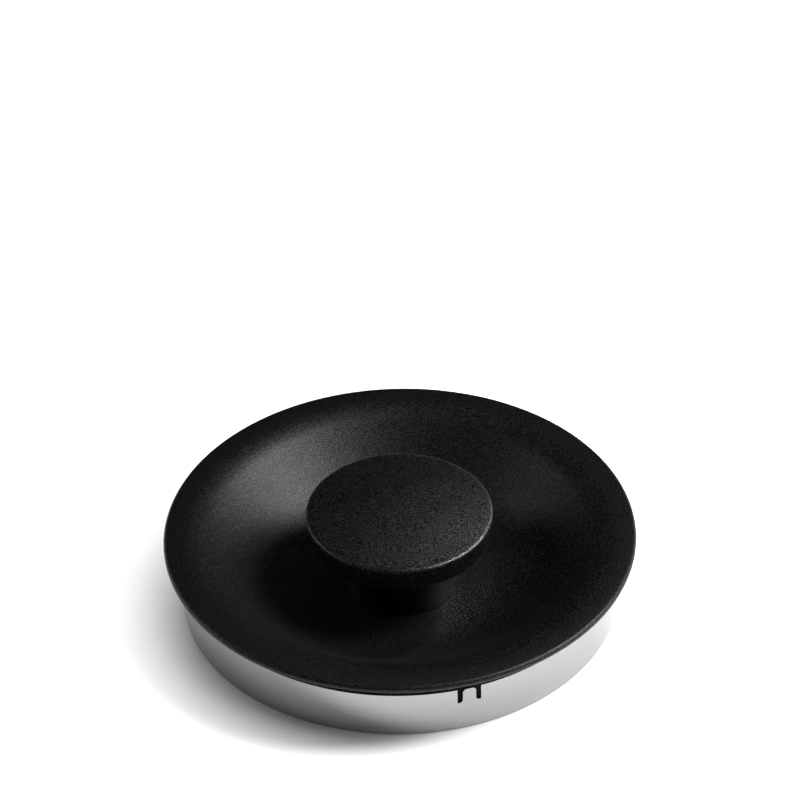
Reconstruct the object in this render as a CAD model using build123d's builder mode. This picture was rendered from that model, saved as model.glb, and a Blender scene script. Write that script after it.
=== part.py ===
from build123d import *
from math import asin, cos, degrees, radians, sin, sqrt, tan
import os

# Round collar with a dished, lift-off waste lid. Millimetres, +Z up, the collar's foot on Z = 0.
# The lid's axis is the Z axis. The side that carries the front spring tab looks towards -Y.

# ---- Driving dimensions -------------------------------------------------------------------------

# Collar: a stainless band with three lanced spring tabs, lined with a moulded ring
COLLAR_RADIUS = 93.0
COLLAR_HEIGHT = 21.2
SHEET = 0.8
FOOT_FLANGE_RADIUS = 89.6
FOOT_BEND = 0.6
TAB_WIDTH = 5.7
TAB_HEIGHT = 7.1
TAB_SLOT = 2.25
TAB_BARB = 0.3
TAB_CORNER = 1.7
TAB_ROOT = 1.5
TAB_ANGLES = (-73.0, 47.0, 167.0)
TAB_RELIEF = 1.0
LINER_WALL = 1.5
LINER_CAP = 0.9
LINER_ROUND = 0.3

# Gaps left between pieces: screwed or pressed, resting, slipped in, and loose
SNUG = 0.02
FIT = 0.05
SLIP = 0.1
LOOSE = 0.2

# How far a cutting or trimmed solid runs past what it cuts or fills
OVERRUN = 3.0

# Lid shell: flat band, convex shoulder, straight wall, concave sweep, flat floor
RIM_RADIUS = 100.0
RIM_TOP = 31.35
LIP_ROUND = 1.75
BAND_RADIUS = 92.0
SHOULDER_ROUND = 20.0
SWEEP_ROUND = 44.0
WALL_SLOPE = 38.0
FLOOR_TOP = 5.0
SHELL = 2.4

# Lid underside
SKIRT_RADIUS = 88.8
SKIRT_WALL = 2.0
SKIRT_FOOT = 3.4
LANDING_RADIUS = 91.6
LANDING_Z = 23.4
SEAL_GROOVE_Z = 20.0
SEAL_GROOVE = (0.6, 1.2)
BASE_BOTTOM = 1.0
BASE_TOP = 3.2
BASE_BORE = 47.0
BASE_SCREW_CIRCLE = 70.0
BASE_SCREWS = 6
POST_RADIUS = 4.0
WEB_FOOT = 9.4
WEB_HEIGHT = 10.0
INSERT_RADIUS = 2.0
INSERT_LENGTH = 5.0
SCREW_RADIUS = 1.45
SCREW_HEAD_RADIUS = 2.9
SCREW_LENGTH = 6.5
SCREW_SOCKET = 1.1
SOCKET_DEPTH = 0.9
HEAD_ANGLE = 90
BASE_SCREW_DEPTH = 6.5
UPSTAND = 6.0
UPSTAND_WALL = 3.0
RIB = 1.6
BITE = 1.0
BASE_EDGE = 0.8
STIFFENER = (55.0, 83.0, 2.6)
GASKET_ROUND = 0.85
OUTER_GASKET_Z = 6.0
INNER_GASKET_ROUND = 0.7
INNER_GASKET_RADIUS = 50.2
SEAL_FLANGE_RADIUS = 92.3
SEAL_SLEEVE_RADIUS = 89.9
SEAL_FOOT = 17.0
SEAL_GAP = 0.3
WIPER = (0.6, 1.6)

# Knob: a wide disc cap on a hollow stem, pulled down by one bolt from below
KNOB_TOP = 44.1
CAP_CROWN = 1.5
CAP_BOTTOM = 31.4
CAP_TOP_RADIUS = 39.7
CAP_BOTTOM_RADIUS = 38.2
CAP_EDGE = 1.0
CAP_SKIRT_EDGE = 0.8
CAP_WALL = 2.8
UNDERPLATE = 2.2
UNDERPLATE_RADIUS = 35.4
PLATE_SLIP = 0.15
PLATE_LEDGE = 1.0
TIP_ROOM = 0.6
CAP_SCREW_CIRCLE = 17.0
CAP_SCREWS = 4
STEM_RADIUS = 24.1
STEM_WALL = 2.6
STEM_WEB = 2.9
STEM_RIBS = 6
STEM_FOOT = 5.5
COLUMN_RADIUS = 8.5
SPIGOT_RADIUS = 12.0
SPIGOT_HEIGHT = 2.0
SPIGOT_WALL = 2.0
CAP_BOSS_RADIUS = 9.0
CAP_INSERT_RADIUS = 4.2
CAP_INSERT_LENGTH = 8.0
CAP_POST_RADIUS = 3.2
CAP_SCREW_RADIUS = 1.25
CAP_SCREW_HEAD = 2.5
CAP_SCREW_LENGTH = 5.5
CAP_SCREW_DEPTH = 5.0
CAP_RIB = 3.0
GASKET_INNER = 22.0
GASKET_OUTER = 23.5
GASKET_SEAT = 0.7

# Hub in the middle of the dish, which takes the bolt
HUB_RADIUS = 11.5
HUB_TOP = 17.0
HUB_CEILING = 14.0
POCKET_RADIUS = 8.8
LUG = (2.6, 3.0, 2.0)
LUG_ROOM = 0.6
BOLT_RADIUS = 2.95
BOLT_BORE = 3.3
BOLT_LENGTH = 30.0
BOLT_HEAD_HEIGHT = 4.0
BOLT_HEAD_FLATS = 10.0
BOLT_TIP = 0.6
WASHER = 1.6
PLAIN_WASHER_RADIUS = 8.3
SPRING_WASHER_RADIUS = 5.4
SPRING_CUT = 1.0
SPRING_CUT_ANGLE = 20
SEALING_WASHER = 1.2
SEALING_WASHER_RADIUS = 8.0
PLUG_WALL = 1.2
PLUG_HEIGHT = 3.5
PLUG_FLANGE = 2.0
PLUG_EDGE = 0.5

# ---- Derived dimensions -------------------------------------------------------------------------

slope = radians(WALL_SLOPE)
rounds = SHOULDER_ROUND + SWEEP_ROUND
straight_drop = RIM_TOP - FLOOR_TOP - rounds * (1 - cos(slope))
floor_radius = BAND_RADIUS - rounds * sin(slope) - straight_drop / tan(slope)
shoulder_centre = (BAND_RADIUS, RIM_TOP - SHOULDER_ROUND)
sweep_centre = (floor_radius, FLOOR_TOP + SWEEP_ROUND)
lip_centre = (RIM_RADIUS - LIP_ROUND, RIM_TOP - LIP_ROUND)
floor_bottom = FLOOR_TOP - SHELL

collar_bore = COLLAR_RADIUS - SHEET
liner_radius = collar_bore - FIT
liner_bore = liner_radius - LINER_WALL
liner_top = COLLAR_HEIGHT + LINER_CAP
skirt_bore = SKIRT_RADIUS - SKIRT_WALL
groove_low = SEAL_GROOVE_Z - SEAL_GROOVE[1] / 2
groove_high = SEAL_GROOVE_Z + SEAL_GROOVE[1] / 2
washer_top = HUB_CEILING - SEALING_WASHER
head_top = washer_top - 2 * WASHER
bolt_tip = head_top + BOLT_LENGTH
cap_shoulder = KNOB_TOP - CAP_CROWN
crown_round = (CAP_TOP_RADIUS**2 + CAP_CROWN**2) / (2 * CAP_CROWN)
cap_ceiling = cap_shoulder - CAP_WALL
underplate_bottom = CAP_BOTTOM + LOOSE
underplate_top = underplate_bottom + UNDERPLATE
stem_top = CAP_BOTTOM - SLIP
stem_web = stem_top - STEM_WEB


def radial_plane(angle):
    """A plane through the Z axis: local x runs outwards at this angle, local y runs up."""
    outwards = Vector(1, 0, 0).rotate(Axis.Z, angle)
    return Plane(origin=(0, 0, 0), x_dir=outwards, z_dir=outwards.cross(Vector(0, 0, 1)))


def tangent_plane(angle):
    """A plane facing outwards at this angle: local x runs along the rim, local y runs up."""
    outwards = Vector(1, 0, 0).rotate(Axis.Z, angle)
    return Plane(origin=(0, 0, 0), x_dir=Vector(0, 0, 1).cross(outwards), z_dir=outwards)


def on_arc(centre, radius, turn):
    """A point at this turn from straight down (sweep, radius > 0) or straight up (radius < 0)."""
    return (centre[0] + radius * sin(turn), centre[1] - radius * cos(turn))


def bowl_line(depth):
    """Edges of the bowl from floor to band, this far below its upper face."""
    sweep = SWEEP_ROUND + depth
    shoulder = depth - SHOULDER_ROUND
    low = on_arc(sweep_centre, sweep, 0)
    low_mid = on_arc(sweep_centre, sweep, slope / 2)
    low_end = on_arc(sweep_centre, sweep, slope)
    high_start = on_arc(shoulder_centre, shoulder, slope)
    high_mid = on_arc(shoulder_centre, shoulder, slope / 2)
    high = on_arc(shoulder_centre, shoulder, 0)
    ThreePointArc(low, low_mid, low_end)
    Line(low_end, high_start)
    ThreePointArc(high_start, high_mid, high)


def under_shoulder(radius):
    """Height of the shell's lower face where this radius crosses the shoulder."""
    inner = SHOULDER_ROUND - SHELL
    return shoulder_centre[1] + sqrt(inner**2 - (radius - shoulder_centre[0]) ** 2)


def save(part, node):
    part.label = node
    export_step(part, f"parts/{node}.step")


os.makedirs("parts", exist_ok=True)

# ---- Collar -------------------------------------------------------------------------------------

# Band with an inturned foot. At each tab a wedge stands the free end proud of the band, and a
# slot round three sides then frees the tongue, which stays rooted at its lower end.
tab_root = COLLAR_HEIGHT - TAB_HEIGHT
pad_turn = degrees((TAB_WIDTH + TAB_SLOT) / COLLAR_RADIUS)
with BuildPart() as steel_collar:
    with BuildSketch(Plane.XZ) as band_section:
        with BuildLine():
            Polyline(
                (FOOT_FLANGE_RADIUS, 0),
                (COLLAR_RADIUS, 0),
                (COLLAR_RADIUS, COLLAR_HEIGHT),
                (collar_bore, COLLAR_HEIGHT),
                (collar_bore, SHEET),
                (FOOT_FLANGE_RADIUS, SHEET),
                close=True,
            )
        make_face()
        foot_corner = band_section.vertices().sort_by_distance((COLLAR_RADIUS, 0))[0]
        fillet(foot_corner, FOOT_BEND)
    revolve(axis=Axis.Z)
    for angle in TAB_ANGLES:
        with BuildSketch(radial_plane(angle - pad_turn / 2)):
            with BuildLine():
                Polyline(
                    (COLLAR_RADIUS - SHEET / 2, tab_root),
                    (COLLAR_RADIUS, tab_root),
                    (COLLAR_RADIUS + TAB_BARB, COLLAR_HEIGHT),
                    (COLLAR_RADIUS - SHEET / 2, COLLAR_HEIGHT),
                    close=True,
                )
            make_face()
        revolve(axis=Axis.Z, revolution_arc=pad_turn)
    for angle in TAB_ANGLES:
        with BuildSketch(tangent_plane(angle).offset(COLLAR_RADIUS - OVERRUN)) as slots:
            with Locations((0, tab_root)):
                Rectangle(
                    TAB_WIDTH + 2 * TAB_SLOT,
                    TAB_HEIGHT + OVERRUN,
                    align=(Align.CENTER, Align.MIN),
                )
                Rectangle(TAB_WIDTH, TAB_HEIGHT, align=(Align.CENTER, Align.MIN), mode=Mode.SUBTRACT)
            tongue_corners = slots.vertices().filter_by(lambda v: abs(v.X) < TAB_WIDTH / 2 + SLIP)
            fillet(tongue_corners.sort_by(Axis.Y)[-2:], TAB_CORNER)
            tongue_roots = slots.vertices().filter_by(lambda v: abs(v.X) < TAB_WIDTH / 2 + SLIP)
            fillet(tongue_roots.sort_by(Axis.Y)[:2], TAB_ROOT)
        extrude(amount=2 * OVERRUN, mode=Mode.SUBTRACT)
save(steel_collar.part, "steel_collar")

# Moulded liner: a wall inside the band and a cap over the band's raw upper edge, relieved behind
# each tongue so that the tongue can spring inwards
with BuildPart() as collar_liner:
    with BuildSketch(Plane.XZ) as liner_section:
        with BuildLine():
            Polyline(
                (liner_bore, SHEET + FIT),
                (liner_radius, SHEET + FIT),
                (liner_radius, COLLAR_HEIGHT + FIT),
                (COLLAR_RADIUS, COLLAR_HEIGHT + FIT),
                (COLLAR_RADIUS, liner_top),
                (liner_bore, liner_top),
                close=True,
            )
        make_face()
        cap_corner = liner_section.vertices().sort_by_distance((COLLAR_RADIUS, liner_top))[0]
        mouth_corner = liner_section.vertices().sort_by_distance((liner_bore, liner_top))[0]
        fillet([cap_corner, mouth_corner], LINER_ROUND)
    revolve(axis=Axis.Z)
    for angle in TAB_ANGLES:
        with BuildSketch(tangent_plane(angle).offset(liner_radius - LINER_WALL / 2)):
            with Locations((0, tab_root - TAB_RELIEF)):
                Rectangle(TAB_WIDTH + TAB_RELIEF, TAB_HEIGHT, align=(Align.CENTER, Align.MIN))
        extrude(amount=OVERRUN, mode=Mode.SUBTRACT)
save(collar_liner.part, "collar_liner")

# ---- Lid shell ----------------------------------------------------------------------------------

# Everything above the bowl's mid-surface, used to trim what hangs below the shell
with BuildPart() as bowl_space:
    with BuildSketch(Plane.XZ):
        with BuildLine():
            bowl_line(SHELL / 2)
            Polyline(
                (BAND_RADIUS, RIM_TOP - SHELL / 2),
                (BAND_RADIUS, RIM_TOP + OVERRUN),
                (0, RIM_TOP + OVERRUN),
                (0, FLOOR_TOP - SHELL / 2),
                (floor_radius, FLOOR_TOP - SHELL / 2),
            )
        make_face()
    revolve(axis=Axis.Z)

# Dish: lip, band, bowl, hub, skirt and landing in one moulding, with six screw posts and a rib
# round the bore of the base cover
with BuildPart() as lid_dish:
    with Locations((0, 0, BASE_TOP + SLIP)):
        with PolarLocations(BASE_SCREW_CIRCLE, BASE_SCREWS):
            Cylinder(POST_RADIUS, RIM_TOP - BASE_TOP, align=(Align.CENTER, Align.CENTER, Align.MIN))
    with BuildSketch(Plane.XY.offset(BASE_BOTTOM)):
        Circle(BASE_BORE - LOOSE)
        Circle(BASE_BORE - LOOSE - SKIRT_WALL, mode=Mode.SUBTRACT)
    extrude(amount=SHELL * 2)
    with BuildSketch(Plane.XY.offset(WEB_FOOT)):
        with PolarLocations((BASE_SCREW_CIRCLE + skirt_bore) / 2 + BITE, BASE_SCREWS):
            Rectangle(skirt_bore - BASE_SCREW_CIRCLE, RIB)
    extrude(amount=WEB_HEIGHT)
    add(bowl_space.part, mode=Mode.SUBTRACT)
    with BuildSketch(Plane.XZ) as dish_section:
        with BuildLine():
            Polyline(
                (floor_radius, floor_bottom),
                (POCKET_RADIUS, floor_bottom),
                (POCKET_RADIUS, HUB_CEILING),
                (BOLT_BORE, HUB_CEILING),
                (BOLT_BORE, HUB_TOP),
                (HUB_RADIUS, HUB_TOP),
                (HUB_RADIUS, FLOOR_TOP),
                (floor_radius, FLOOR_TOP),
            )
            bowl_line(0)
            Line((BAND_RADIUS, RIM_TOP), (lip_centre[0], RIM_TOP))
            ThreePointArc(
                (lip_centre[0], RIM_TOP),
                (RIM_RADIUS, lip_centre[1]),
                (lip_centre[0], RIM_TOP - 2 * LIP_ROUND),
            )
            Polyline(
                (lip_centre[0], RIM_TOP - 2 * LIP_ROUND),
                (LANDING_RADIUS, RIM_TOP - 2 * LIP_ROUND),
                (LANDING_RADIUS, LANDING_Z),
                (SKIRT_RADIUS, LANDING_Z),
                (SKIRT_RADIUS, groove_high),
                (SKIRT_RADIUS - SEAL_GROOVE[0], groove_high),
                (SKIRT_RADIUS - SEAL_GROOVE[0], groove_low),
                (SKIRT_RADIUS, groove_low),
                (SKIRT_RADIUS, SKIRT_FOOT),
                (skirt_bore, SKIRT_FOOT),
                (skirt_bore, under_shoulder(skirt_bore)),
            )
            shoulder_turn = asin((BAND_RADIUS - skirt_bore) / (SHOULDER_ROUND - SHELL))
            high_start = on_arc(shoulder_centre, SHELL - SHOULDER_ROUND, slope)
            ThreePointArc(
                (skirt_bore, under_shoulder(skirt_bore)),
                on_arc(shoulder_centre, SHELL - SHOULDER_ROUND, (slope + shoulder_turn) / 2),
                high_start,
            )
            low_end = on_arc(sweep_centre, SWEEP_ROUND + SHELL, slope)
            Line(high_start, low_end)
            ThreePointArc(
                low_end,
                on_arc(sweep_centre, SWEEP_ROUND + SHELL, slope / 2),
                (floor_radius, floor_bottom),
            )
        make_face()
    revolve(axis=Axis.Z)
    with BuildSketch(Plane.XY.offset(HUB_TOP)):
        with PolarLocations(COLUMN_RADIUS - LUG[0] / 2 - LOOSE, 2):
            Rectangle(LUG[0], LUG[1])
    extrude(amount=LUG[2])
    with Locations((0, 0, BASE_TOP + SLIP)):
        with PolarLocations(BASE_SCREW_CIRCLE, BASE_SCREWS):
            Cylinder(
                INSERT_RADIUS,
                BASE_SCREW_DEPTH,
                align=(Align.CENTER, Align.CENTER, Align.MIN),
                mode=Mode.SUBTRACT,
            )
save(lid_dish.part, "lid_dish")

# ---- Lid underside ------------------------------------------------------------------------------

# Ring-shaped base cover with an upstand at its outer edge, radial stiffeners and sunk screw holes
with BuildPart() as lid_base:
    with BuildSketch(Plane.XY.offset(BASE_BOTTOM)):
        Circle(SKIRT_RADIUS)
        Circle(BASE_BORE, mode=Mode.SUBTRACT)
    extrude(amount=BASE_TOP - BASE_BOTTOM)
    with BuildSketch(Plane.XY.offset(BASE_TOP)):
        Circle(skirt_bore - LOOSE)
        Circle(skirt_bore - LOOSE - UPSTAND_WALL, mode=Mode.SUBTRACT)
    extrude(amount=UPSTAND)
    with BuildSketch(Plane.XY.offset(BASE_TOP)):
        with PolarLocations((STIFFENER[0] + STIFFENER[1]) / 2, 2 * BASE_SCREWS, start_angle=15):
            Rectangle(STIFFENER[1] - STIFFENER[0], RIB)
    extrude(amount=STIFFENER[2])
    with BuildSketch(Plane.XZ):
        with Locations((skirt_bore - LOOSE, OUTER_GASKET_Z)):
            Rectangle(4 * GASKET_ROUND, 2 * GASKET_ROUND + LOOSE)
    revolve(axis=Axis.Z, mode=Mode.SUBTRACT)
    with Locations(Plane.XY.offset(BASE_BOTTOM).rotated((180, 0, 0))):
        with PolarLocations(BASE_SCREW_CIRCLE, BASE_SCREWS):
            CounterSinkHole(
                SCREW_RADIUS + LOOSE,
                SCREW_HEAD_RADIUS + SLIP,
                counter_sink_angle=HEAD_ANGLE,
            )
    fillet(lid_base.edges().group_by(Axis.Z)[0].sort_by(SortBy.LENGTH)[-1], BASE_EDGE)
save(lid_base.part, "lid_base")

# Cord gaskets that keep wash water out of the hollow lid
with BuildPart() as base_outer_gasket:
    with BuildSketch(Plane.XZ):
        with Locations((skirt_bore - GASKET_ROUND - FIT, OUTER_GASKET_Z)):
            Circle(GASKET_ROUND)
    revolve(axis=Axis.Z)
save(base_outer_gasket.part, "base_outer_gasket")

with BuildPart() as base_inner_gasket:
    with BuildSketch(Plane.XZ):
        with Locations((INNER_GASKET_RADIUS, BASE_TOP + INNER_GASKET_ROUND + SNUG)):
            Circle(INNER_GASKET_ROUND)
    revolve(axis=Axis.Z)
save(base_inner_gasket.part, "base_inner_gasket")

# Brass inserts in the screw posts, and the countersunk screws that hold the base cover
insert_foot = BASE_TOP + LOOSE
with BuildPart() as base_inserts:
    with BuildSketch(Plane.XY.offset(insert_foot)):
        with PolarLocations(BASE_SCREW_CIRCLE, BASE_SCREWS):
            Circle(INSERT_RADIUS - SNUG)
            Circle(SCREW_RADIUS + SNUG, mode=Mode.SUBTRACT)
    extrude(amount=INSERT_LENGTH)
save(base_inserts.part, "base_inserts")

with BuildPart() as base_screws:
    with BuildSketch(Plane.XY.offset(BASE_BOTTOM + SLIP)):
        with PolarLocations(BASE_SCREW_CIRCLE, BASE_SCREWS):
            Circle(SCREW_HEAD_RADIUS - SLIP)
    extrude(amount=SCREW_HEAD_RADIUS - SLIP - SCREW_RADIUS, taper=HEAD_ANGLE / 2)
    with BuildSketch(Plane.XY.offset(BASE_BOTTOM + SCREW_HEAD_RADIUS - SCREW_RADIUS - LOOSE)):
        with PolarLocations(BASE_SCREW_CIRCLE, BASE_SCREWS):
            Circle(SCREW_RADIUS)
    extrude(amount=SCREW_LENGTH)
    with BuildSketch(Plane.XY.offset(BASE_BOTTOM + SLIP)):
        with PolarLocations(BASE_SCREW_CIRCLE, BASE_SCREWS):
            RegularPolygon(SCREW_SOCKET, 6)
    extrude(amount=SOCKET_DEPTH, mode=Mode.SUBTRACT)
save(base_screws.part, "base_screws")

# Silicone seal: a flange under the landing, a sleeve and bead in the skirt groove, a wiping lip
with BuildPart() as lid_seal:
    with BuildSketch(Plane.XZ):
        with BuildLine():
            Polyline(
                (SKIRT_RADIUS + FIT, LANDING_Z - FIT),
                (SEAL_FLANGE_RADIUS, LANDING_Z - FIT),
                (SEAL_FLANGE_RADIUS, liner_top + SEAL_GAP),
                (SEAL_SLEEVE_RADIUS, liner_top + SEAL_GAP),
                (SEAL_SLEEVE_RADIUS, SEAL_FOOT + WIPER[1]),
                (liner_bore - SEAL_GAP, SEAL_FOOT + WIPER[0]),
                (liner_bore - SEAL_GAP, SEAL_FOOT),
                (SKIRT_RADIUS + FIT, SEAL_FOOT),
                (SKIRT_RADIUS + FIT, groove_low + SLIP),
                (SKIRT_RADIUS - SEAL_GROOVE[0] + SLIP, groove_low + SLIP),
                (SKIRT_RADIUS - SEAL_GROOVE[0] + SLIP, groove_high - SLIP),
                (SKIRT_RADIUS + FIT, groove_high - SLIP),
                close=True,
            )
        make_face()
    revolve(axis=Axis.Z)
save(lid_seal.part, "lid_seal")

# ---- Knob ---------------------------------------------------------------------------------------

# Hollow stem: outer wall, top web with a centring spigot, and a ribbed column that takes the bolt
with BuildPart() as knob_stem:
    with BuildSketch(Plane.XZ):
        with BuildLine():
            Polyline(
                (STEM_RADIUS, STEM_FOOT),
                (STEM_RADIUS, stem_top),
                (SPIGOT_RADIUS, stem_top),
                (SPIGOT_RADIUS, stem_top + SPIGOT_HEIGHT),
                (SPIGOT_RADIUS - SPIGOT_WALL, stem_top + SPIGOT_HEIGHT),
                (SPIGOT_RADIUS - SPIGOT_WALL, stem_top),
                (BOLT_BORE, stem_top),
                (BOLT_BORE, HUB_TOP + FIT),
                (COLUMN_RADIUS, HUB_TOP + FIT),
                (COLUMN_RADIUS, stem_web),
                (STEM_RADIUS - STEM_WALL, stem_web),
                (STEM_RADIUS - STEM_WALL, STEM_FOOT),
                (GASKET_INNER - SLIP, STEM_FOOT),
                (GASKET_INNER - SLIP, STEM_FOOT + GASKET_SEAT),
                (GASKET_OUTER + SLIP, STEM_FOOT + GASKET_SEAT),
                (GASKET_OUTER + SLIP, STEM_FOOT),
                close=True,
            )
        make_face()
    revolve(axis=Axis.Z)
    with BuildSketch(Plane.XY.offset(HUB_TOP + LUG[2])):
        with PolarLocations((COLUMN_RADIUS + STEM_RADIUS) / 2 - BITE, STEM_RIBS):
            Rectangle(STEM_RADIUS - COLUMN_RADIUS - BITE, RIB)
    extrude(amount=stem_web - HUB_TOP - BITE)
    with BuildSketch(Plane.XY.offset(HUB_TOP)):
        with PolarLocations(COLUMN_RADIUS - LUG[0] / 2, 2):
            Rectangle(LUG[0] + LUG_ROOM, LUG[1] + LOOSE)
    extrude(amount=LUG[2] + LOOSE, mode=Mode.SUBTRACT)
save(knob_stem.part, "knob_stem")

with BuildPart() as stem_gasket:
    with BuildSketch(Plane.XY.offset(FLOOR_TOP)):
        Circle(GASKET_OUTER)
        Circle(GASKET_INNER, mode=Mode.SUBTRACT)
    extrude(amount=STEM_FOOT - FLOOR_TOP + GASKET_SEAT - FIT)
save(stem_gasket.part, "stem_gasket")

# Cap: a hollow disc whose side tapers in towards its underside, with a boss for the bolt's insert
with BuildPart() as knob_cap:
    with BuildSketch(Plane.XZ) as cap_section:
        with BuildLine():
            RadiusArc((0, KNOB_TOP), (CAP_TOP_RADIUS, cap_shoulder), crown_round)
            Polyline(
                (CAP_TOP_RADIUS, cap_shoulder),
                (CAP_BOTTOM_RADIUS, CAP_BOTTOM),
                (UNDERPLATE_RADIUS + PLATE_SLIP, CAP_BOTTOM),
                (UNDERPLATE_RADIUS + PLATE_SLIP, underplate_top + FIT),
                (UNDERPLATE_RADIUS - PLATE_LEDGE, underplate_top + FIT),
                (UNDERPLATE_RADIUS - PLATE_LEDGE, cap_ceiling),
                (CAP_BOSS_RADIUS, cap_ceiling),
                (CAP_BOSS_RADIUS, CAP_BOTTOM),
                (CAP_INSERT_RADIUS, CAP_BOTTOM),
                (CAP_INSERT_RADIUS, bolt_tip + TIP_ROOM),
                (0, bolt_tip + TIP_ROOM),
                (0, KNOB_TOP),
            )
        make_face()
        cap_edge = cap_section.vertices().sort_by_distance((CAP_TOP_RADIUS, cap_shoulder))[0]
        cap_skirt = cap_section.vertices().sort_by_distance((CAP_BOTTOM_RADIUS, CAP_BOTTOM))[0]
        fillet(cap_edge, CAP_EDGE)
        fillet(cap_skirt, CAP_SKIRT_EDGE)
    revolve(axis=Axis.Z)
    with BuildSketch(Plane.XY.offset(underplate_top + FIT)):
        with PolarLocations(CAP_SCREW_CIRCLE, CAP_SCREWS):
            Circle(CAP_POST_RADIUS)
    extrude(amount=cap_ceiling - underplate_top)
    with BuildSketch(Plane.XY.offset(cap_ceiling - CAP_RIB)):
        with PolarLocations((CAP_BOSS_RADIUS + UNDERPLATE_RADIUS) / 2, 8, start_angle=22.5):
            Rectangle(UNDERPLATE_RADIUS - CAP_BOSS_RADIUS, RIB)
    extrude(amount=CAP_RIB + LOOSE)
    with BuildSketch(Plane.XY.offset(underplate_top)):
        with PolarLocations(CAP_SCREW_CIRCLE, CAP_SCREWS):
            Circle(CAP_SCREW_RADIUS)
    extrude(amount=CAP_SCREW_DEPTH, mode=Mode.SUBTRACT)
save(knob_cap.part, "knob_cap")

with BuildPart() as cap_underplate:
    with BuildSketch(Plane.XY.offset(underplate_bottom)):
        Circle(UNDERPLATE_RADIUS)
        Circle(SPIGOT_RADIUS + PLATE_SLIP, mode=Mode.SUBTRACT)
    extrude(amount=UNDERPLATE)
    with Locations(Plane.XY.offset(underplate_bottom).rotated((180, 0, 0))):
        with PolarLocations(CAP_SCREW_CIRCLE, CAP_SCREWS):
            CounterSinkHole(
                CAP_SCREW_RADIUS + PLATE_SLIP,
                CAP_SCREW_HEAD + SLIP,
                counter_sink_angle=HEAD_ANGLE,
            )
save(cap_underplate.part, "cap_underplate")

with BuildPart() as cap_screws:
    with BuildSketch(Plane.XY.offset(underplate_bottom + SLIP)):
        with PolarLocations(CAP_SCREW_CIRCLE, CAP_SCREWS):
            Circle(CAP_SCREW_HEAD - SLIP)
    extrude(amount=CAP_SCREW_HEAD - SLIP - CAP_SCREW_RADIUS, taper=HEAD_ANGLE / 2)
    with BuildSketch(Plane.XY.offset(underplate_bottom + CAP_SCREW_HEAD - CAP_SCREW_RADIUS)):
        with PolarLocations(CAP_SCREW_CIRCLE, CAP_SCREWS):
            Circle(CAP_SCREW_RADIUS - SNUG)
    extrude(amount=CAP_SCREW_LENGTH)
    with BuildSketch(Plane.XY.offset(underplate_bottom + SLIP)):
        with PolarLocations(CAP_SCREW_CIRCLE, CAP_SCREWS):
            RegularPolygon(SCREW_SOCKET, 6)
    extrude(amount=SOCKET_DEPTH, mode=Mode.SUBTRACT)
save(cap_screws.part, "cap_screws")

with BuildPart() as cap_insert:
    with BuildSketch(Plane.XY.offset(CAP_BOTTOM + SLIP)):
        Circle(CAP_INSERT_RADIUS - SNUG)
        Circle(BOLT_RADIUS + SNUG, mode=Mode.SUBTRACT)
    extrude(amount=CAP_INSERT_LENGTH)
save(cap_insert.part, "cap_insert")

# ---- Bolt stack in the hub pocket, from the ceiling down ----------------------------------------

with BuildPart() as sealing_washer:
    with BuildSketch(Plane.XY.offset(washer_top)):
        Circle(SEALING_WASHER_RADIUS)
        Circle(BOLT_RADIUS + SLIP, mode=Mode.SUBTRACT)
    extrude(amount=SEALING_WASHER - SNUG)
save(sealing_washer.part, "sealing_washer")

with BuildPart() as plain_washer:
    with BuildSketch(Plane.XY.offset(washer_top - WASHER)):
        Circle(PLAIN_WASHER_RADIUS)
        Circle(BOLT_RADIUS + LOOSE, mode=Mode.SUBTRACT)
    extrude(amount=WASHER - SNUG)
save(plain_washer.part, "plain_washer")

# Split spring washer, cut through at one side
with BuildPart() as spring_washer:
    with BuildSketch(Plane.XY.offset(head_top)):
        Circle(SPRING_WASHER_RADIUS)
        Circle(BOLT_RADIUS + SLIP, mode=Mode.SUBTRACT)
        with Locations((BOLT_HEAD_FLATS / 2, 0)):
            Rectangle(BOLT_HEAD_FLATS, SPRING_CUT, rotation=SPRING_CUT_ANGLE, mode=Mode.SUBTRACT)
    extrude(amount=WASHER - SNUG)
save(spring_washer.part, "spring_washer")

with BuildPart() as knob_bolt:
    with BuildSketch(Plane.XY.offset(head_top - BOLT_HEAD_HEIGHT)):
        RegularPolygon(BOLT_HEAD_FLATS / 2, 6, major_radius=False)
    extrude(amount=BOLT_HEAD_HEIGHT - SNUG)
    with BuildSketch(Plane.XY.offset(head_top - BITE)):
        Circle(BOLT_RADIUS)
    extrude(amount=BOLT_LENGTH + BITE)
    chamfer(knob_bolt.edges().sort_by(Axis.Z)[-1], BOLT_TIP)
save(knob_bolt.part, "knob_bolt")

# Snap-in plug that closes the bolt pocket, flush below the dish floor
with BuildPart() as bolt_plug:
    with BuildSketch(Plane.XY.offset(BASE_BOTTOM)):
        Circle(POCKET_RADIUS + PLUG_FLANGE)
    extrude(amount=floor_bottom - BASE_BOTTOM - FIT)
    with BuildSketch(Plane.XY.offset(floor_bottom - SLIP)):
        Circle(POCKET_RADIUS - SLIP)
        Circle(POCKET_RADIUS - SLIP - PLUG_WALL, mode=Mode.SUBTRACT)
    extrude(amount=PLUG_HEIGHT)
    fillet(bolt_plug.edges().group_by(Axis.Z)[0], PLUG_EDGE)
save(bolt_plug.part, "bolt_plug")
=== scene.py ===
"""Looks for the waste inlet lid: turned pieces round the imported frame, materials, lights and camera.

Outlines are (radius, height) pairs in millimetres, like the CAD source; meshes are in metres.
"""
from math import asin, atan2, cos, pi, radians, sin, tan

import bmesh
import bpy
from mathutils import Matrix, Vector


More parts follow.
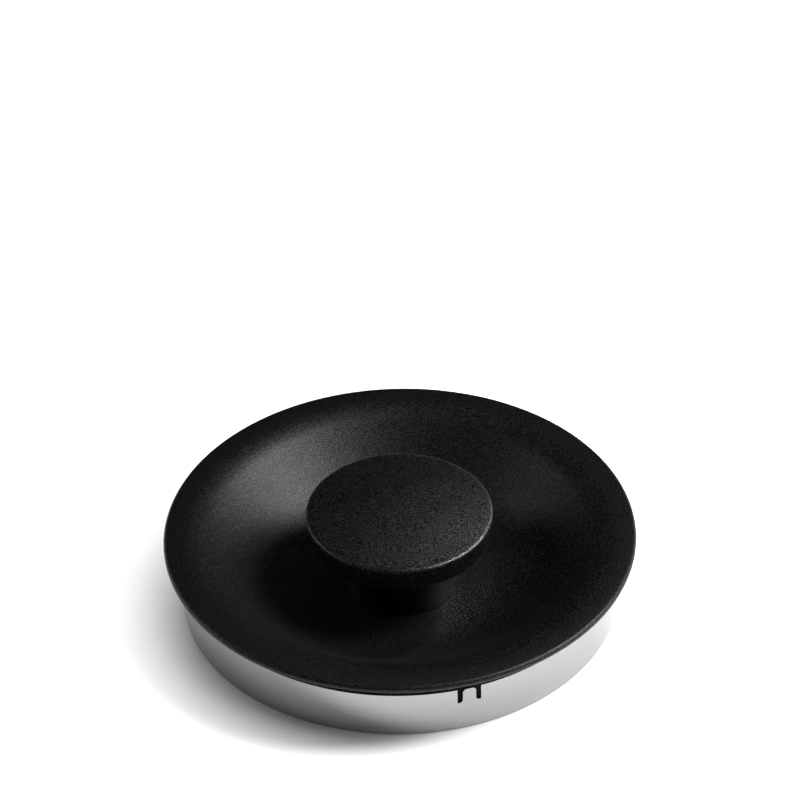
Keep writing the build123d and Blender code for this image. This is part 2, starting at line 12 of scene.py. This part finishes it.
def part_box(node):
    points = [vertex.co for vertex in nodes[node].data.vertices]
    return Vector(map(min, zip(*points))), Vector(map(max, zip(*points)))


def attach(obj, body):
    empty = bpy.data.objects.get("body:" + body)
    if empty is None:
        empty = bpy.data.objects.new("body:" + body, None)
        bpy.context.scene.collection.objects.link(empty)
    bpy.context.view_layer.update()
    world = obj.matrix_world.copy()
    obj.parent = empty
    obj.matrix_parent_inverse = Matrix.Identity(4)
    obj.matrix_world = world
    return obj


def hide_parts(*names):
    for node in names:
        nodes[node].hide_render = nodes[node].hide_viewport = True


MM = 0.001
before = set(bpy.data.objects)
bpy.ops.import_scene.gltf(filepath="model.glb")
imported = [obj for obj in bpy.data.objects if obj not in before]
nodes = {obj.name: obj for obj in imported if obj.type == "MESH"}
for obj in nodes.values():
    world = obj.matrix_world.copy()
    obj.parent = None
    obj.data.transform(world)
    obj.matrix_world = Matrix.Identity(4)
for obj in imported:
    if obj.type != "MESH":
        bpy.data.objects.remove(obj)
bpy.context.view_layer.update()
scene = bpy.context.scene


def extent(node):
    """Outer radius, foot and top of a turned CAD node, in millimetres."""
    low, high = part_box(node)
    return high[0] / MM, low[2] / MM, high[2] / MM


# ---- Sizes, from the frame and from the part's own driving dimensions (mm) ----------------------

RIM_RADIUS, DISH_FOOT, RIM_TOP = extent("lid_dish")
CAP_BOTTOM, CAP_TOP = extent("knob_cap")[1:]
STEM_RADIUS, STEM_FOOT = extent("knob_stem")[:2]

# Gaps left between pieces: slipped in, and loose
SLIP = 0.1
LOOSE = 0.2

# Rounding of plain moulded edges, and of edges close against another piece
EDGE = 0.3
FINE_EDGE = 0.2

# Dish: flat band, convex shoulder, straight wall, concave sweep, flat floor
LIP_ROUND = 1.75
BAND_RADIUS = 92.0
SHOULDER_ROUND = 20.0
SWEEP_ROUND = 44.0
WALL_SLOPE = radians(38)
FLOOR_TOP = 5.0
SHELL = 2.4

# Dish underside: the landing above the collar, the skirt inside it, the rib in the base's bore
LANDING_RADIUS = 91.6
LANDING_Z = 23.4
LANDING_ROUND = 1.2
SKIRT_RADIUS = 88.8
SKIRT_WALL = 2.0
SKIRT_FOOT = 3.4
BASE_BORE = 47.0

# Hub in the middle of the dish, which takes the bolt
HUB_RADIUS = 11.5
HUB_TOP = 17.0
HUB_CEILING = 14.0
HUB_EDGE = 0.5
HUB_ROOT = 0.8
POCKET_RADIUS = 8.8
BOLT_BORE = 3.3

# Knob: a crowned cap, recessed below for its underplate, on a hollow stem
CAP_BOTTOM_RADIUS = 38.2
CAP_TOP_RADIUS = 39.7
CAP_CROWN = 1.5
CAP_EDGE = 1.2
CAP_SKIRT_EDGE = 0.96
RECESS_RADIUS = 35.55
RECESS_DEPTH = 2.4
RECESS_EDGE = 0.15
STEM_WALL = 2.6
STEM_FOOT_EDGE = 0.25

# Worked out from the sizes above
lip_bottom = RIM_TOP - 2 * LIP_ROUND
skirt_bore = SKIRT_RADIUS - SKIRT_WALL
rib_radius = BASE_BORE - LOOSE
slope_rounds = SHOULDER_ROUND + SWEEP_ROUND
straight_drop = RIM_TOP - FLOOR_TOP - slope_rounds * (1 - cos(WALL_SLOPE))
floor_radius = BAND_RADIUS - slope_rounds * sin(WALL_SLOPE) - straight_drop / tan(WALL_SLOPE)

# Fineness of the meshes: flats in a whole turn, and steps along an arc
SEGMENTS = 288
CAP_SEGMENTS = 360
DISH_SEGMENTS = 432
BOWL_STEPS = 28
CROWN_STEPS = 24
LIP_STEPS = 16
CAP_EDGE_STEPS = 8
EDGE_STEPS = 5
SHARP_ANGLE = radians(30)

# Outline points nearer to each other than this are one point, and nearer to the axis are on it (mm)
SAME_POINT = 1e-4
ON_AXIS = 1e-6


# ---- Mesh helpers -------------------------------------------------------------------------------


def arc(centre, radius, start, end, steps):
    """Points on an arc in the (radius, height) plane; angles in radians from outwards."""
    turns = [start + (end - start) * i / steps for i in range(steps + 1)]
    return [(centre[0] + radius * cos(t), centre[1] + radius * sin(t)) for t in turns]


def rounded(corners, steps=EDGE_STEPS):
    """A closed outline with its corners rounded: each corner is (radius, height, rounding)."""
    outline = []
    for i, (x, y, rounding) in enumerate(corners):
        if rounding == 0:
            outline.append((x, y))
            continue
        here = Vector((x, y))
        to_last = Vector(corners[i - 1][:2]) - here
        to_next = Vector(corners[(i + 1) % len(corners)][:2]) - here
        half = to_last.angle(to_next) / 2
        reach = rounding / tan(half)
        start = here + to_last.normalized() * reach
        end = here + to_next.normalized() * reach
        inwards = (to_last.normalized() + to_next.normalized()).normalized()
        centre = here + inwards * (rounding / sin(half))
        first = atan2(start.y - centre.y, start.x - centre.x)
        last = atan2(end.y - centre.y, end.x - centre.x)
        turn = (last - first + pi) % (2 * pi) - pi
        outline += arc(centre, rounding, first, first + turn, steps)
    return outline


def turned(name, outline, segments=SEGMENTS):
    """A solid of revolution from a closed outline that doesn't cross the axis, as a mesh."""
    profile = [p for i, p in enumerate(outline) if (Vector(p) - Vector(outline[i - 1])).length > SAME_POINT]
    vertices = []
    axis_points = {}
    index = {}
    for j in range(segments):
        turn = 2 * pi * j / segments
        for i, (r, z) in enumerate(profile):
            if r < ON_AXIS:
                if i not in axis_points:
                    axis_points[i] = len(vertices)
                    vertices.append((0, 0, z * MM))
                index[i, j] = axis_points[i]
            else:
                index[i, j] = len(vertices)
                vertices.append((r * cos(turn) * MM, r * sin(turn) * MM, z * MM))
    faces = []
    for j in range(segments):
        next_j = (j + 1) % segments
        for i in range(len(profile)):
            next_i = (i + 1) % len(profile)
            ring = [index[i, j], index[next_i, j], index[next_i, next_j], index[i, next_j]]
            corners = [v for a, v in enumerate(ring) if v != ring[a - 1]]
            if len(corners) > 2:
                faces.append(corners)
    mesh = bpy.data.meshes.new(name)
    mesh.from_pydata(vertices, [], faces)
    shell = bmesh.new()
    shell.from_mesh(mesh)
    bmesh.ops.recalc_face_normals(shell, faces=shell.faces)
    shell.to_mesh(mesh)
    shell.free()
    mesh.shade_smooth()
    mesh.set_sharp_from_angle(angle=SHARP_ANGLE)
    return mesh


def new_object(name, mesh, material, body, *stands_for):
    """Links a mesh as a piece that rides on a body and stands for these CAD nodes."""
    piece = bpy.data.objects.new(name, mesh)
    scene.collection.objects.link(piece)
    mesh.materials.append(material)
    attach(piece, body)
    if stands_for:
        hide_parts(*stands_for)
    return piece


# ---- Materials ----------------------------------------------------------------------------------

# The part of a noise's 0 to 1 that a look is spread over; beyond it the look stays at its ends
ROUGHNESS_SPREAD = (0.35, 0.65)
GLEAM_SPREAD = (0.38, 0.62)
# Part of the grain where a paler base colour is painted on the tops as glints
PAINTED_GLINT_TOPS = (0.5, 0.75)
STEEL_SPREAD = (0.3, 0.7)

PLASTIC_IOR = 1.49

# Length of the steel's streaks, size of its clouds, size and depth of the brass's knurl (mm)
STREAK_LENGTH = 60
CLOUD_SIZE = 25
KNURL_SIZE = 0.3
KNURL_DEPTH = 0.02

BRASS_SHADES = ((0.55, 0.38, 0.14), (0.72, 0.52, 0.22))
BRASS_ROUGHNESS = 0.35


class Shader:
    """A Principled material whose nodes are added by short calls."""

    def __init__(self, name):
        self.material = bpy.data.materials.new(name)
        self.material.use_nodes = True
        self.tree = self.material.node_tree
        self.surface = self.tree.nodes["Principled BSDF"]
        self.place = self.add("ShaderNodeTexCoord").outputs["Object"]

    def add(self, kind, **settings):
        node = self.tree.nodes.new(kind)
        for key, value in settings.items():
            setattr(node, key, value)
        return node

    def link(self, source, target):
        self.tree.links.new(source, target)

    def feed(self, name, source):
        """Links an output to the surface's input of this name."""
        self.link(source, self.surface.inputs[name])

    def set(self, **values):
        for name, value in values.items():
            self.surface.inputs[name].default_value = value

    def scaled(self, scale):
        """The place on the object, stretched by this scale along each axis."""
        mapping = self.add("ShaderNodeMapping")
        mapping.inputs["Scale"].default_value = scale
        self.link(self.place, mapping.inputs["Vector"])
        return mapping.outputs["Vector"]

    def noise(self, scale, detail=2.0, roughness=0.5, vector=None):
        node = self.add("ShaderNodeTexNoise")
        node.inputs["Scale"].default_value = scale
        node.inputs["Detail"].default_value = detail
        node.inputs["Roughness"].default_value = roughness
        self.link(vector or self.place, node.inputs["Vector"])
        return node.outputs["Fac"]

    def remap(self, value, spread, ends=(0, 1)):
        """Takes the part of a value between two limits to two new ends."""
        node = self.add("ShaderNodeMapRange")
        for key, number in zip(("From Min", "From Max", "To Min", "To Max"), (*spread, *ends)):
            node.inputs[key].default_value = number
        self.link(value, node.inputs["Value"])
        return node.outputs["Result"]

    def bump(self, height, depth, after=None):
        """Relief of this depth in millimetres, laid over an earlier relief if one is given."""
        node = self.add("ShaderNodeBump")
        node.inputs["Distance"].default_value = depth * MM
        self.link(height, node.inputs["Height"])
        if after:
            self.link(after, node.inputs["Normal"])
        return node.outputs["Normal"]

    def shade(self, low, high, mask):
        """Base colour between two colours by a mask."""
        ramp = self.add("ShaderNodeValToRGB")
        ramp.color_ramp.elements[0].color = (*low, 1)
        ramp.color_ramp.elements[1].color = (*high, 1)
        self.link(mask, ramp.inputs["Fac"])
        self.feed("Base Color", ramp.outputs["Color"])


def grey(value):
    return (value, value, value)


def moulded(name, greys, fine_grain, coarse_grain, roughness, gleam):
    """Moulded black plastic: each grain is (size, depth) in mm; its tops gleam more and carry painted
    glints, a paler base colour.
    """
    shader = Shader(name)
    fine = shader.noise(1 / (fine_grain[0] * MM), detail=1.0)
    coarse = shader.noise(1 / (coarse_grain[0] * MM), detail=0.0)
    relief = shader.bump(coarse, coarse_grain[1])
    relief = shader.bump(fine, fine_grain[1], after=relief)
    shader.feed("Normal", relief)
    shader.feed("Roughness", shader.remap(coarse, ROUGHNESS_SPREAD, roughness))
    shader.feed("Specular IOR Level", shader.remap(coarse, GLEAM_SPREAD, gleam))
    # Painted glints: the second grey goes on the grain's tops as base colour
    shader.shade(grey(greys[0]), grey(greys[1]), shader.remap(coarse, PAINTED_GLINT_TOPS))
    shader.set(IOR=PLASTIC_IOR)
    return shader.material


def brushed(name, greys, streak, depth, roughness, anisotropy):
    """Stainless steel brushed level, round the axis: its streaks are this wide and deep in mm."""
    shader = Shader(name)
    along = 1 / (STREAK_LENGTH * MM)
    place = shader.scaled((along, along, 1 / (streak * MM)))
    streaks = shader.noise(1.0, detail=4.0, roughness=0.7, vector=place)
    clouds = shader.noise(1 / (CLOUD_SIZE * MM), detail=2.0)
    shader.feed("Normal", shader.bump(streaks, depth))
    tangent = shader.add("ShaderNodeTangent", direction_type="RADIAL", axis="Z")
    shader.feed("Tangent", tangent.outputs["Tangent"])
    shader.feed("Roughness", shader.remap(clouds, STEEL_SPREAD, roughness))
    shader.shade(grey(greys[0]), grey(greys[1]), shader.remap(streaks, STEEL_SPREAD))
    shader.set(Metallic=1.0, Anisotropic=anisotropy)
    return shader.material


def knurled_brass():
    shader = Shader("knurled_brass")
    knurl = shader.noise(1 / (KNURL_SIZE * MM), detail=2.0)
    shader.feed("Normal", shader.bump(knurl, KNURL_DEPTH))
    shader.shade(*BRASS_SHADES, knurl)
    shader.set(Metallic=1.0, Roughness=BRASS_ROUGHNESS)
    return shader.material


# In each moulded black the first grey is the plastic's own colour and the second is the painted glint on
# the grain's tops
grained_black = moulded(
    "grained_black", greys=(0.0002, 0.006), fine_grain=(0.22, 0.05), coarse_grain=(0.55, 0.08),
    roughness=(0.43, 0.49), gleam=(0.2, 0.41))
knob_black = moulded(
    "knob_black", greys=(0.0002, 0.006), fine_grain=(0.2, 0.025), coarse_grain=(0.52, 0.16),
    roughness=(0.34, 0.4), gleam=(0.12, 0.95))
satin_black = moulded(
    "satin_black", greys=(0.0012, 0.002), fine_grain=(0.2, 0.015), coarse_grain=(0.6, 0.01),
    roughness=(0.34, 0.4), gleam=(0.4, 0.5))
liner_black = moulded(
    "liner_black", greys=(0.001, 0.003), fine_grain=(0.2, 0.02), coarse_grain=(0.6, 0.01),
    roughness=(0.5, 0.6), gleam=(0.05, 0.08))
base_black = moulded(
    "base_black", greys=(0.008, 0.011), fine_grain=(0.2, 0.03), coarse_grain=(0.8, 0.02),
    roughness=(0.4, 0.5), gleam=(0.3, 0.4))
silicone_black = moulded(
    "silicone_black", greys=(0.001, 0.003), fine_grain=(0.3, 0.02), coarse_grain=(0.9, 0.01),
    roughness=(0.6, 0.7), gleam=(0.05, 0.08))
collar_steel = brushed(
    "collar_steel", greys=(0.33, 0.39), streak=0.12, depth=0.002, roughness=(0.12, 0.17),
    anisotropy=0.3)
fastener_steel = brushed(
    "fastener_steel", greys=(0.42, 0.55), streak=0.2, depth=0.003, roughness=(0.25, 0.35),
    anisotropy=0.0)
brass = knurled_brass()

# ---- Lid pieces ---------------------------------------------------------------------------------


def bowl(depth):
    """Floor to band, this far below the dish's upper face."""
    sweep_centre = (floor_radius, FLOOR_TOP + SWEEP_ROUND)
    shoulder_centre = (BAND_RADIUS, RIM_TOP - SHOULDER_ROUND)
    sweep = arc(sweep_centre, SWEEP_ROUND + depth, -pi / 2, -pi / 2 + WALL_SLOPE, BOWL_STEPS)
    shoulder = arc(shoulder_centre, SHOULDER_ROUND - depth, pi / 2 + WALL_SLOPE, pi / 2, BOWL_STEPS)
    return sweep + shoulder


def add_dish_shell():
    lip_centre = (RIM_RADIUS - LIP_ROUND, RIM_TOP - LIP_ROUND)
    lip = arc(lip_centre, LIP_ROUND, pi / 2, -pi / 2, LIP_STEPS)
    landing = rounded([
        (RIM_RADIUS - LIP_ROUND, lip_bottom, 0),
        (LANDING_RADIUS, lip_bottom, LANDING_ROUND),
        (LANDING_RADIUS, LANDING_Z, FINE_EDGE),
        (SKIRT_RADIUS, LANDING_Z, 0),
        (SKIRT_RADIUS, SKIRT_FOOT, EDGE),
        (skirt_bore, SKIRT_FOOT, EDGE),
        (skirt_bore, lip_bottom, 0),
    ])
    under = [p for p in reversed(bowl(SHELL)) if p[0] < skirt_bore]
    hub = rounded([
        (POCKET_RADIUS, FLOOR_TOP - SHELL, EDGE),
        (POCKET_RADIUS, HUB_CEILING, 0),
        (BOLT_BORE, HUB_CEILING, 0),
        (BOLT_BORE, HUB_TOP, 0),
        (HUB_RADIUS, HUB_TOP, HUB_EDGE),
        (HUB_RADIUS, FLOOR_TOP, HUB_ROOT),
        (floor_radius, FLOOR_TOP, 0),
    ])
    outline = bowl(0) + lip[1:] + landing[1:-1] + under + hub[:-1]
    mesh = turned("dish_shell", outline, DISH_SEGMENTS)
    dish = new_object("dish_shell", mesh, grained_black, "lid", "lid_dish")


def add_dish_foot_rib():
    outline = rounded([
        (rib_radius, DISH_FOOT, EDGE),
        (rib_radius, FLOOR_TOP, 0),
        (rib_radius - SKIRT_WALL, FLOOR_TOP, 0),
        (rib_radius - SKIRT_WALL, DISH_FOOT, EDGE),
    ])
    foot_rib = new_object("dish_foot_rib", turned("dish_foot_rib", outline), grained_black, "lid")


def add_cap_shell():
    crown_round = (CAP_TOP_RADIUS ** 2 + CAP_CROWN ** 2) / (2 * CAP_CROWN)
    # The crown's arc stops well inside the edge, so that it meets the edge's rounding on a straight
    crown_turn = asin((CAP_TOP_RADIUS - 3 * CAP_EDGE) / crown_round)
    crown = arc((0, CAP_TOP - crown_round), crown_round, pi / 2, pi / 2 - crown_turn, CROWN_STEPS)
    recess_top = CAP_BOTTOM + RECESS_DEPTH
    side = rounded([
        (CAP_TOP_RADIUS, CAP_TOP - CAP_CROWN, CAP_EDGE),
        (CAP_BOTTOM_RADIUS, CAP_BOTTOM, CAP_SKIRT_EDGE),
        (RECESS_RADIUS, CAP_BOTTOM, RECESS_EDGE),
        (RECESS_RADIUS, recess_top, 0),
        (0, recess_top, 0),
        (*crown[-1], 0),
    ], CAP_EDGE_STEPS)
    mesh = turned("cap_shell", crown + side[:-1], CAP_SEGMENTS)
    cap = new_object("cap_shell", mesh, knob_black, "lid", "knob_cap")


def add_stem_wall():
    stem_bore = STEM_RADIUS - STEM_WALL
    stem_top = CAP_BOTTOM - SLIP
    outline = rounded([
        (STEM_RADIUS, STEM_FOOT, STEM_FOOT_EDGE),
        (STEM_RADIUS, stem_top, FINE_EDGE),
        (stem_bore, stem_top, 0),
        (stem_bore, STEM_FOOT, FINE_EDGE),
    ])
    stem = new_object("stem_wall", turned("stem_wall", outline), satin_black, "lid", "knob_stem")


def paint(materials):
    """Gives CAD nodes that keep their own meshes their materials, by node name."""
    for node, material in materials.items():
        for material_slot in nodes[node].material_slots:
            material_slot.material = material


# ---- Floor, lights, world, camera (metres) ------------------------------------------------------

FLOOR_SIZE = 8.0
FLOOR_GREYS = (0.86, 0.88)
FLOOR_CLOUDS_PER_METRE = 3.0
FLOOR_ROUGHNESS = 0.7

KEY_DIRECTION = (0.71, 0.03, 0.70)
SPOT_RADIUS = 0.03
WORLD_STRENGTH = 0.22

CAMERA_DISTANCE = 2.0
CAMERA_PITCH = radians(37.97)
CAMERA_ROLL = radians(-1.23)
CAMERA_LENS = 212.8
CAMERA_SENSOR = 36
CAMERA_REACH = 20
CAMERA_SHIFT = (0.0001, 0.0565)
RIM_PLANE = 0.0304


def add_floor():
    mesh = bpy.data.meshes.new("floor")
    half = FLOOR_SIZE / 2
    corners = [(-half, -half, 0), (half, -half, 0), (half, half, 0), (-half, half, 0)]
    mesh.from_pydata(corners, [], [(0, 1, 2, 3)])
    floor = bpy.data.objects.new("floor", mesh)
    scene.collection.objects.link(floor)
    shader = Shader("floor_white")
    shader.shade(grey(FLOOR_GREYS[0]), grey(FLOOR_GREYS[1]), shader.noise(FLOOR_CLOUDS_PER_METRE))
    shader.set(Roughness=FLOOR_ROUGHNESS)
    mesh.materials.append(shader.material)


def add_light(name, direction, distance, size, power, diffuse=True, glossy=True):
    """A soft box aimed at the middle of the collar's foot. Its size is (level, upright)."""
    data = bpy.data.lights.new(name, "AREA")
    data.shape = "RECTANGLE"
    data.size, data.size_y = size
    data.energy = power
    light = bpy.data.objects.new(name, data)
    light.location = Vector(direction).normalized() * distance
    light.rotation_euler = (-light.location).to_track_quat("-Z", "Y").to_euler()
    light.visible_diffuse = diffuse
    light.visible_glossy = glossy
    scene.collection.objects.link(light)


def add_spot(name, target, direction, distance, spread, power):
    """A small soft spot that only shows as gloss."""
    data = bpy.data.lights.new(name, "SPOT")
    data.spot_size = spread
    data.spot_blend = 1.0
    data.shadow_soft_size = SPOT_RADIUS
    data.energy = power
    light = bpy.data.objects.new(name, data)
    away = Vector(direction).normalized()
    light.location = Vector(target) + away * distance
    light.rotation_euler = (-away).to_track_quat("-Z", "Y").to_euler()
    light.visible_diffuse = False
    scene.collection.objects.link(light)


def add_world():
    """A white surround that lights evenly but isn't mirrored."""
    world = bpy.data.worlds.new("studio")
    world.use_nodes = True
    background = world.node_tree.nodes["Background"]
    background.inputs["Color"].default_value = (1, 1, 1, 1)
    background.inputs["Strength"].default_value = WORLD_STRENGTH
    scene.world = world
    world.cycles_visibility.glossy = False


def add_camera():
    """Looks along +Y and down at the rim's plane, rolled a little and shifted across its view."""
    forward = Vector((0, cos(CAMERA_PITCH), -sin(CAMERA_PITCH)))
    level = Vector((1, 0, 0))
    over = level.cross(forward)
    right = level * cos(CAMERA_ROLL) + over * sin(CAMERA_ROLL)
    up = right.cross(forward)
    aim = Vector((0, 0, RIM_PLANE)) + right * CAMERA_SHIFT[0] + up * CAMERA_SHIFT[1]
    place = Matrix.Translation(aim - forward * CAMERA_DISTANCE)
    data = bpy.data.cameras.new("camera")
    data.lens = CAMERA_LENS
    data.sensor_width = CAMERA_SENSOR
    data.clip_end = CAMERA_REACH
    camera = bpy.data.objects.new("camera", data)
    camera.matrix_world = place @ Matrix((right, up, -forward)).transposed().to_4x4()
    scene.collection.objects.link(camera)
    scene.camera = camera


# ---- The scene ----------------------------------------------------------------------------------

add_dish_shell()
add_dish_foot_rib()
add_cap_shell()
add_stem_wall()

paint({
    "steel_collar": collar_steel,
    "collar_liner": liner_black,
    "lid_base": base_black,
    "base_outer_gasket": silicone_black,
    "base_inner_gasket": silicone_black,
    "base_inserts": brass,
    "base_screws": fastener_steel,
    "lid_seal": silicone_black,
    "stem_gasket": silicone_black,
    "cap_underplate": base_black,
    "cap_screws": fastener_steel,
    "cap_insert": brass,
    "sealing_washer": silicone_black,
    "plain_washer": fastener_steel,
    "spring_washer": fastener_steel,
    "knob_bolt": fastener_steel,
    "bolt_plug": base_black,
})

add_floor()
add_light("key", KEY_DIRECTION, distance=1.2, size=(0.35, 0.6), power=18, glossy=False)
add_light("key_gloss", KEY_DIRECTION, distance=2.5, size=(0.7, 1.4), power=100, diffuse=False)
add_light("top", (0.22, 0.42, 0.88), distance=1.3, size=(2.2, 2.2), power=46, glossy=False)
add_light("fill", (-0.84, 0.18, 0.50), distance=1.2, size=(0.35, 0.5), power=2.6, diffuse=False)
add_spot(
    "kicker", target=(0.022, -0.014, 0.0426), direction=(0.566, 0.479, 0.672), distance=0.4,
    spread=radians(11.5), power=8)
add_world()
scene.view_settings.view_transform = "Standard"
add_camera()
